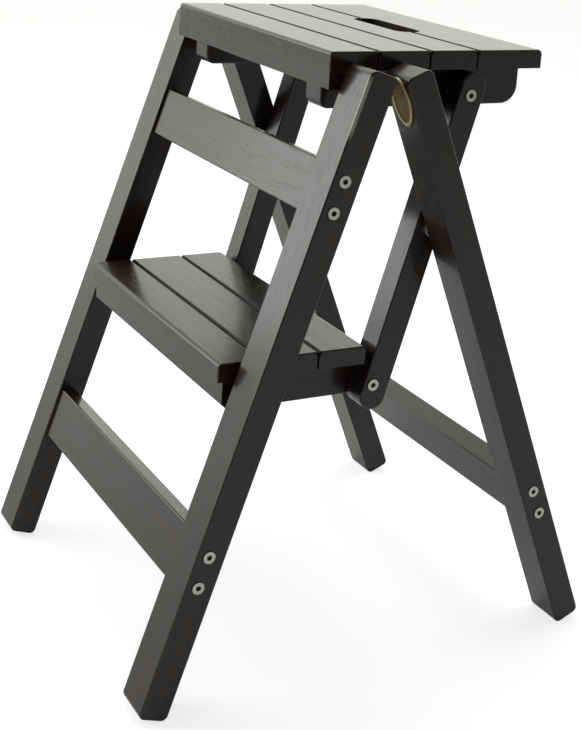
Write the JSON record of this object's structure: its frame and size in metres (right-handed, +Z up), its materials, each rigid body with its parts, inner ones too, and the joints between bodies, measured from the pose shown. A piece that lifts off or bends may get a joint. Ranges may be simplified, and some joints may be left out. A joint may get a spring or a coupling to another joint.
{
  "type": "folding step stool chair",
  "caption": "Folding step stool chair in dark wood, with a slatted seat that has a hand hole, a slatted step, crossing legs and link bars that fold flat.",
  "frame": {"origin": "on the floor, at the middle of the footprint of the open stool", "axes": "+Z up, +Y from the step's side to the rear legs, +X to the right as seen from the step's side"},
  "size_m": [0.3652, 0.4084, 0.5],
  "materials": {
    "dark_wood": "dark stained, satin lacquer",
    "steel": "satin zinc plated",
    "brass_plate": "satin"
  },
  "bodies": {
    "front_frame": {"front_leg_left": "dark_wood", "front_leg_right": "dark_wood", "front_lower_rail": "dark_wood", "front_lower_rail_bolts": "steel", "front_upper_rail": "dark_wood", "front_upper_rail_bolts": "steel", "seat_pivot_bolt_left": "steel", "seat_pivot_bolt_right": "steel", "tread_pivot_bolt_left": "steel", "tread_pivot_bolt_right": "steel"},
    "seat": {"link_seat_bolt_left": "steel", "link_seat_bolt_right": "steel", "seat_apron": "dark_wood", "seat_bearer_left": "dark_wood", "seat_bearer_right": "dark_wood", "seat_pivot_spacer_left": "steel", "seat_pivot_spacer_right": "steel", "seat_slat_1": "dark_wood", "seat_slat_2": "dark_wood", "seat_slat_3": "dark_wood", "seat_slat_4": "dark_wood", "seat_slat_screws": "steel", "stop_pin_left": "steel", "stop_pin_right": "steel"},
    "tread": {"link_tread_bolt_left": "steel", "link_tread_bolt_right": "steel", "tread_apron": "dark_wood", "tread_bearer_left": "dark_wood", "tread_bearer_right": "dark_wood", "tread_pivot_spacer_left": "steel", "tread_pivot_spacer_right": "steel", "tread_slat_1": "dark_wood", "tread_slat_2": "dark_wood", "tread_slat_3": "dark_wood", "tread_slat_screws": "steel"},
    "link_left": {"link_bar_left": "dark_wood"},
    "link_right": {"link_bar_right": "dark_wood"},
    "rear_frame": {"oval_plate": "brass_plate", "rear_leg_left": "dark_wood", "rear_leg_pin_left": "steel", "rear_leg_pin_right": "steel", "rear_leg_right": "dark_wood", "rear_leg_washer_left": "steel", "rear_leg_washer_right": "steel", "rear_rail": "dark_wood", "rear_rail_bolts": "steel"}
  },
  "joints": [
    {"name": "seat_fold", "type": "hinge", "parent": "front_frame", "child": "seat", "pos_m": [0, -0.04095, 0.4759], "axis": [1, 0, 0], "range_deg": [0, 67]},
    {"name": "step_fold", "type": "hinge", "parent": "front_frame", "child": "tread", "pos_m": [0, -0.11075, 0.2426], "axis": [1, 0, 0], "range_deg": [0, 67]},
    {"name": "left_link_pivot", "type": "hinge", "parent": "seat", "child": "link_left", "pos_m": [-0.1303, 0.06955, 0.464], "axis": [1, 0, 0], "range_deg": [-67, 0]},
    {"name": "right_link_pivot", "type": "hinge", "parent": "seat", "child": "link_right", "pos_m": [0.1303, 0.06955, 0.464], "axis": [1, 0, 0], "range_deg": [-67, 0]},
    {"name": "rear_leg_fold", "type": "hinge", "parent": "link_right", "child": "rear_frame", "pos_m": [0.1303, 0.04411, 0.35769], "axis": [1, 0, 0], "range_deg": [-37.72, 0]}
  ],
  "couplings": [
    {"joint": "step_fold", "follows": "seat_fold", "ratio": 1},
    {"joint": "left_link_pivot", "follows": "seat_fold", "ratio": -1},
    {"joint": "right_link_pivot", "follows": "seat_fold", "ratio": -1},
    {"joint": "rear_leg_fold", "follows": "seat_fold", "ratio": -0.563}
  ]
}
